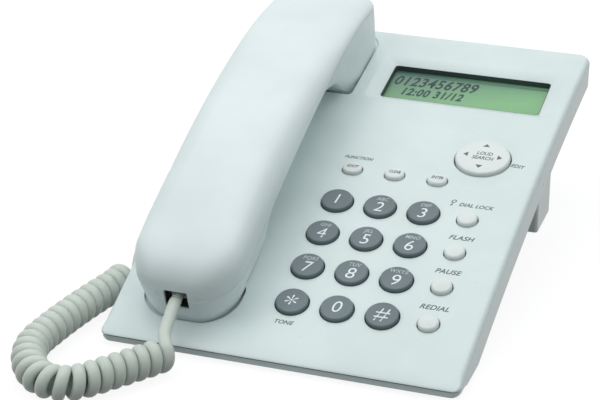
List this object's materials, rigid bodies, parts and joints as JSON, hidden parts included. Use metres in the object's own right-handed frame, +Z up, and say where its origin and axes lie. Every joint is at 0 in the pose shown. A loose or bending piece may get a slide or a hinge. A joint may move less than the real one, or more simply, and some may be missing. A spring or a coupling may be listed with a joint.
{
  "type": "corded desk telephone",
  "caption": "Corded desk telephone: thin sloping white base on a rear stand, long handset along its left side, green display, keypad and coiled cord.",
  "frame": {"origin": "on the table under the middle of the telephone without its cord", "axes": "+X to the right as a caller sits, +Y to the rear, +Z up"},
  "size_m": [0.1716, 0.2587, 0.0838],
  "materials": {
    "housing": "satin white moulding with a cool tint",
    "key_grey": "mid grey moulding",
    "key_white": "white moulding",
    "dark_plastic": "black moulding",
    "rubber": "dark foot rubber",
    "key_rubber": "grey silicone mat",
    "steel": "plated steel",
    "weight": "bare iron",
    "window": "clear cover",
    "display": "green grey liquid crystal",
    "board": "green circuit board",
    "battery": "plain painted cell jacket",
    "plug": "pale clear plug",
    "cord": "off white cord sheath"
  },
  "bodies": {
    "base": {"base_top_shell": "housing", "base_bottom_shell": "housing", "desk_stand": "housing", "rubber_feet": "rubber", "case_screws": "steel", "display_window": "window", "display_panel": "display", "display_holder": "dark_plastic", "key_board": "board", "key_mat": "key_rubber", "hook_board": "board", "batteries": "battery", "battery_contacts": "steel", "ringer": "dark_plastic", "line_jack": "dark_plastic", "base_jack": "dark_plastic", "base_plug": "plug", "cord_handset_lead": "cord", "cord_coil": "cord", "cord_base_lead": "cord"},
    "key_1": {"key_1": "key_grey"},
    "key_2": {"key_2": "key_grey"},
    "key_3": {"key_3": "key_grey"},
    "key_4": {"key_4": "key_grey"},
    "key_5": {"key_5": "key_grey"},
    "key_6": {"key_6": "key_grey"},
    "key_7": {"key_7": "key_grey"},
    "key_8": {"key_8": "key_grey"},
    "key_9": {"key_9": "key_grey"},
    "key_star": {"key_star": "key_grey"},
    "key_0": {"key_0": "key_grey"},
    "key_hash": {"key_hash": "key_grey"},
    "lock_key": {"lock_key": "key_white"},
    "flash_key": {"flash_key": "key_white"},
    "pause_key": {"pause_key": "key_white"},
    "redial_key": {"redial_key": "key_white"},
    "exit_key": {"exit_key": "key_white"},
    "clear_key": {"clear_key": "key_white"},
    "enter_key": {"enter_key": "key_white"},
    "navigation_key": {"navigation_key": "key_white"},
    "navigation_pivot": {"navigation_pivot": "dark_plastic"},
    "hook_switch": {"hook_switch": "key_white"},
    "battery_cover": {"battery_cover": "housing"},
    "handset": {"handset_upper_shell": "housing", "handset_lower_shell": "housing", "receiver": "dark_plastic", "microphone": "steel", "balance_weight": "weight", "handset_jack": "dark_plastic", "handset_screws": "steel", "handset_plug": "plug"}
  },
  "joints": [
    {"name": "key_1_press", "type": "slide", "parent": "base", "child": "key_1", "axis": [0, -0.2756, 0.9613], "range_m": [-0.0012, 0], "stiffness_N_per_m": 400, "springref_m": 0.001},
    {"name": "key_2_press", "type": "slide", "parent": "base", "child": "key_2", "axis": [0, -0.2756, 0.9613], "range_m": [-0.0012, 0], "stiffness_N_per_m": 400, "springref_m": 0.001},
    {"name": "key_3_press", "type": "slide", "parent": "base", "child": "key_3", "axis": [0, -0.2756, 0.9613], "range_m": [-0.0012, 0], "stiffness_N_per_m": 400, "springref_m": 0.001},
    {"name": "key_4_press", "type": "slide", "parent": "base", "child": "key_4", "axis": [0, -0.294, 0.9558], "range_m": [-0.0012, 0], "stiffness_N_per_m": 400, "springref_m": 0.001},
    {"name": "key_5_press", "type": "slide", "parent": "base", "child": "key_5", "axis": [0, -0.294, 0.9558], "range_m": [-0.0012, 0], "stiffness_N_per_m": 400, "springref_m": 0.001},
    {"name": "key_6_press", "type": "slide", "parent": "base", "child": "key_6", "axis": [0, -0.294, 0.9558], "range_m": [-0.0012, 0], "stiffness_N_per_m": 400, "springref_m": 0.001},
    {"name": "key_7_press", "type": "slide", "parent": "base", "child": "key_7", "axis": [0, -0.3122, 0.95], "range_m": [-0.0012, 0], "stiffness_N_per_m": 400, "springref_m": 0.001},
    {"name": "key_8_press", "type": "slide", "parent": "base", "child": "key_8", "axis": [0, -0.3122, 0.95], "range_m": [-0.0012, 0], "stiffness_N_per_m": 400, "springref_m": 0.001},
    {"name": "key_9_press", "type": "slide", "parent": "base", "child": "key_9", "axis": [0, -0.3122, 0.95], "range_m": [-0.0012, 0], "stiffness_N_per_m": 400, "springref_m": 0.001},
    {"name": "key_star_press", "type": "slide", "parent": "base", "child": "key_star", "axis": [0, -0.3303, 0.9439], "range_m": [-0.0012, 0], "stiffness_N_per_m": 400, "springref_m": 0.001},
    {"name": "key_0_press", "type": "slide", "parent": "base", "child": "key_0", "axis": [0, -0.3303, 0.9439], "range_m": [-0.0012, 0], "stiffness_N_per_m": 400, "springref_m": 0.001},
    {"name": "key_hash_press", "type": "slide", "parent": "base", "child": "key_hash", "axis": [0, -0.3303, 0.9439], "range_m": [-0.0012, 0], "stiffness_N_per_m": 400, "springref_m": 0.001},
    {"name": "lock_key_press", "type": "slide", "parent": "base", "child": "lock_key", "axis": [0, -0.2756, 0.9613], "range_m": [-0.0012, 0], "stiffness_N_per_m": 400, "springref_m": 0.001},
    {"name": "flash_key_press", "type": "slide", "parent": "base", "child": "flash_key", "axis": [0, -0.294, 0.9558], "range_m": [-0.0012, 0], "stiffness_N_per_m": 400, "springref_m": 0.001},
    {"name": "pause_key_press", "type": "slide", "parent": "base", "child": "pause_key", "axis": [0, -0.3122, 0.95], "range_m": [-0.0012, 0], "stiffness_N_per_m": 400, "springref_m": 0.001},
    {"name": "redial_key_press", "type": "slide", "parent": "base", "child": "redial_key", "axis": [0, -0.3303, 0.9439], "range_m": [-0.0012, 0], "stiffness_N_per_m": 400, "springref_m": 0.001},
    {"name": "exit_key_press", "type": "slide", "parent": "base", "child": "exit_key", "axis": [0, -0.2558, 0.9667], "range_m": [-0.0012, 0], "stiffness_N_per_m": 400, "springref_m": 0.001},
    {"name": "clear_key_press", "type": "slide", "parent": "base", "child": "clear_key", "axis": [0, -0.2558, 0.9667], "range_m": [-0.0012, 0], "stiffness_N_per_m": 400, "springref_m": 0.001},
    {"name": "enter_key_press", "type": "slide", "parent": "base", "child": "enter_key", "axis": [0, -0.2558, 0.9667], "range_m": [-0.0012, 0], "stiffness_N_per_m": 400, "springref_m": 0.001},
    {"name": "navigation_up_down", "type": "hinge", "parent": "base", "child": "navigation_pivot", "pos_m": [0.0485, 0.0173, 0.04056], "axis": [1, 0, 0], "range_deg": [-2.5, 2.5], "stiffness_Nm_per_rad": 0.5},
    {"name": "navigation_left_right", "type": "hinge", "parent": "navigation_pivot", "child": "navigation_key", "pos_m": [0.0485, 0.0173, 0.04056], "axis": [0, 0.9708, 0.2397], "range_deg": [-2.5, 2.5], "stiffness_Nm_per_rad": 0.5},
    {"name": "handset_lift", "type": "slide", "parent": "base", "child": "handset", "axis": [0, -0.2588, 0.9659], "range_m": [0, 0.06]},
    {"name": "hook_switch_rise", "type": "slide", "parent": "base", "child": "hook_switch", "axis": [0, -0.2588, 0.9659], "range_m": [0, 0.0037]},
    {"name": "battery_cover_slide", "type": "slide", "parent": "base", "child": "battery_cover", "axis": [0, 0.9769, 0.2136], "range_m": [0, 0.03]}
  ],
  "couplings": [
    {"joint": "hook_switch_rise", "follows": "handset_lift", "ratio": 0.06}
  ]
}
